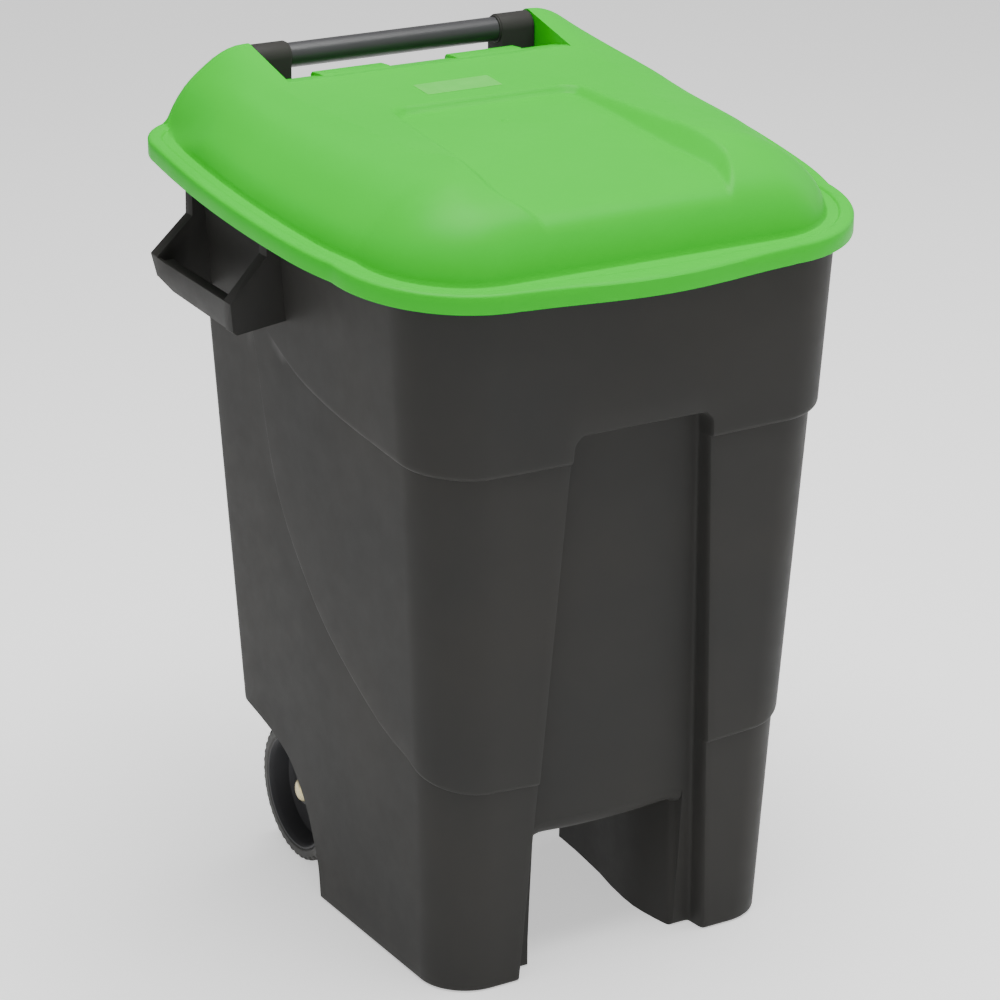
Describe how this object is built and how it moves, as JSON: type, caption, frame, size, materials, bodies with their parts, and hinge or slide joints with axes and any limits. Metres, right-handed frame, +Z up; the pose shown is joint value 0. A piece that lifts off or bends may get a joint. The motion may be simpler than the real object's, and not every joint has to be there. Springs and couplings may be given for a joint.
{
  "type": "wheelie bin",
  "caption": "Two-wheeled refuse bin with hollow front legs, a domed lid pivoting on the handle bar's ends, side grips and dished wheels on a steel axle.",
  "frame": {"origin": "on the ground, in the middle of the plan", "axes": "+Z up, -Y the front with the legs, +Y the rear with the handle bar and wheels, +X the bin's right as seen from the front"},
  "size_m": [0.59, 0.5334, 0.8505],
  "materials": {
    "tub_plastic": "fine moulded grain, dark grey",
    "bar_plastic": "smooth satin, dark grey coated tube",
    "trim_plastic": "satin, dark grey",
    "lid_plastic": "satin gloss, leaf green",
    "label_film": "thin blank translucent film",
    "axle_steel": "drawn bar",
    "washer_steel": "stamped",
    "washer_dark": "blackened",
    "cap_brass": "pressed, yellow passivated",
    "rim_plastic": "satin, dark grey",
    "tyre_rubber": "matt rubber, notched edge"
  },
  "bodies": {
    "bin": {"tub": "tub_plastic", "handle_bar": "bar_plastic", "bar_bush_left": "trim_plastic", "bar_bush_right": "trim_plastic", "pivot_pin_left": "trim_plastic", "pivot_pin_right": "trim_plastic", "axle": "axle_steel", "axle_spacer_left": "trim_plastic", "axle_spacer_right": "trim_plastic", "inner_washer_left": "washer_steel", "inner_washer_right": "washer_steel", "outer_washer_left": "washer_dark", "outer_washer_right": "washer_dark", "axle_cap_left": "cap_brass", "axle_cap_right": "cap_brass"},
    "lid": {"lid": "lid_plastic", "lid_label": "label_film"},
    "wheel_left": {"wheel_rim_left": "rim_plastic", "tyre_left": "tyre_rubber"},
    "wheel_right": {"wheel_rim_right": "rim_plastic", "tyre_right": "tyre_rubber"}
  },
  "joints": [
    {"name": "lid_hinge", "type": "hinge", "parent": "bin", "child": "lid", "pos_m": [0, 0.2507, 0.835], "axis": [-1, 0, 0], "range_deg": [0, 250]},
    {"name": "wheel_left_spin", "type": "hinge", "parent": "bin", "child": "wheel_left", "pos_m": [-0.145, 0.1766, 0.0745], "axis": [1, 0, 0], "continuous": true},
    {"name": "wheel_right_spin", "type": "hinge", "parent": "bin", "child": "wheel_right", "pos_m": [0.145, 0.1766, 0.0745], "axis": [1, 0, 0], "continuous": true}
  ]
}
